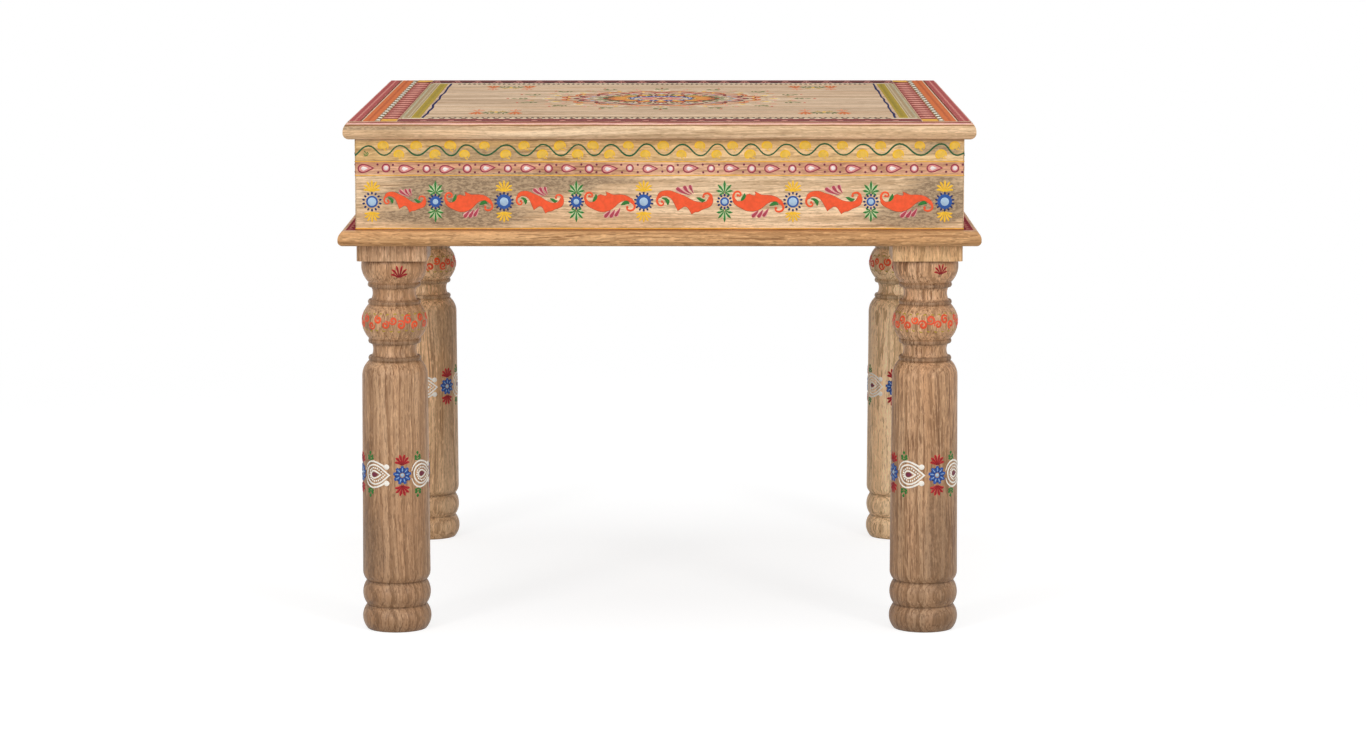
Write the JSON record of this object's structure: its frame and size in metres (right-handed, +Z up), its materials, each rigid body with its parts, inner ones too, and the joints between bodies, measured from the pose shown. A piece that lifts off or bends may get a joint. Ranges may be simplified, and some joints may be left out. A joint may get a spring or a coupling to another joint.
{
  "type": "low table",
  "caption": "Low square bajot table: a boarded box with a moulded top over a moulded frame, on stout turned legs, with raised folk painting.",
  "frame": {"origin": "on the floor, at the middle of the table's plan", "axes": "+Z up, +X to the right of someone who faces the front, the front faces -Y"},
  "size_m": [0.611, 0.611, 0.495],
  "materials": {
    "top_wood": "satin, pale mango wood",
    "apron_wood_along_x": "satin, pale mango wood with dark streaks",
    "apron_wood_along_y": "satin, pale mango wood with dark streaks",
    "rail_wood_along_x": "satin, reddish mango wood",
    "rail_wood_along_y": "satin, reddish mango wood",
    "inner_wood_along_x": "unfinished",
    "inner_wood_along_y": "unfinished",
    "block_wood": "satin",
    "leg_wood": "satin, brown turned wood",
    "plated_steel": "zinc plated"
  },
  "bodies": {
    "root": {"top_plank_1": "top_wood", "top_plank_2": "top_wood", "top_plank_3": "top_wood", "top_plank_4": "top_wood", "top_plank_5": "top_wood", "apron_front": "apron_wood_along_x", "frame_rail_front": "rail_wood_along_x", "cleat_front": "inner_wood_along_x", "apron_back": "apron_wood_along_x", "frame_rail_back": "rail_wood_along_x", "cleat_back": "inner_wood_along_x", "apron_left": "apron_wood_along_y", "frame_rail_left": "rail_wood_along_y", "cleat_left": "inner_wood_along_y", "apron_right": "apron_wood_along_y", "frame_rail_right": "rail_wood_along_y", "cleat_right": "inner_wood_along_y", "leg_block_front_left": "block_wood", "leg_front_left": "leg_wood", "corner_block_front_left": "inner_wood_along_x", "leg_block_front_right": "block_wood", "leg_front_right": "leg_wood", "corner_block_front_right": "inner_wood_along_x", "leg_block_back_right": "block_wood", "leg_back_right": "leg_wood", "corner_block_back_right": "inner_wood_along_x", "leg_block_back_left": "block_wood", "leg_back_left": "leg_wood", "corner_block_back_left": "inner_wood_along_x", "hanger_bolts": "plated_steel", "washers": "plated_steel", "nuts": "plated_steel"}
  },
  "joints": []
}
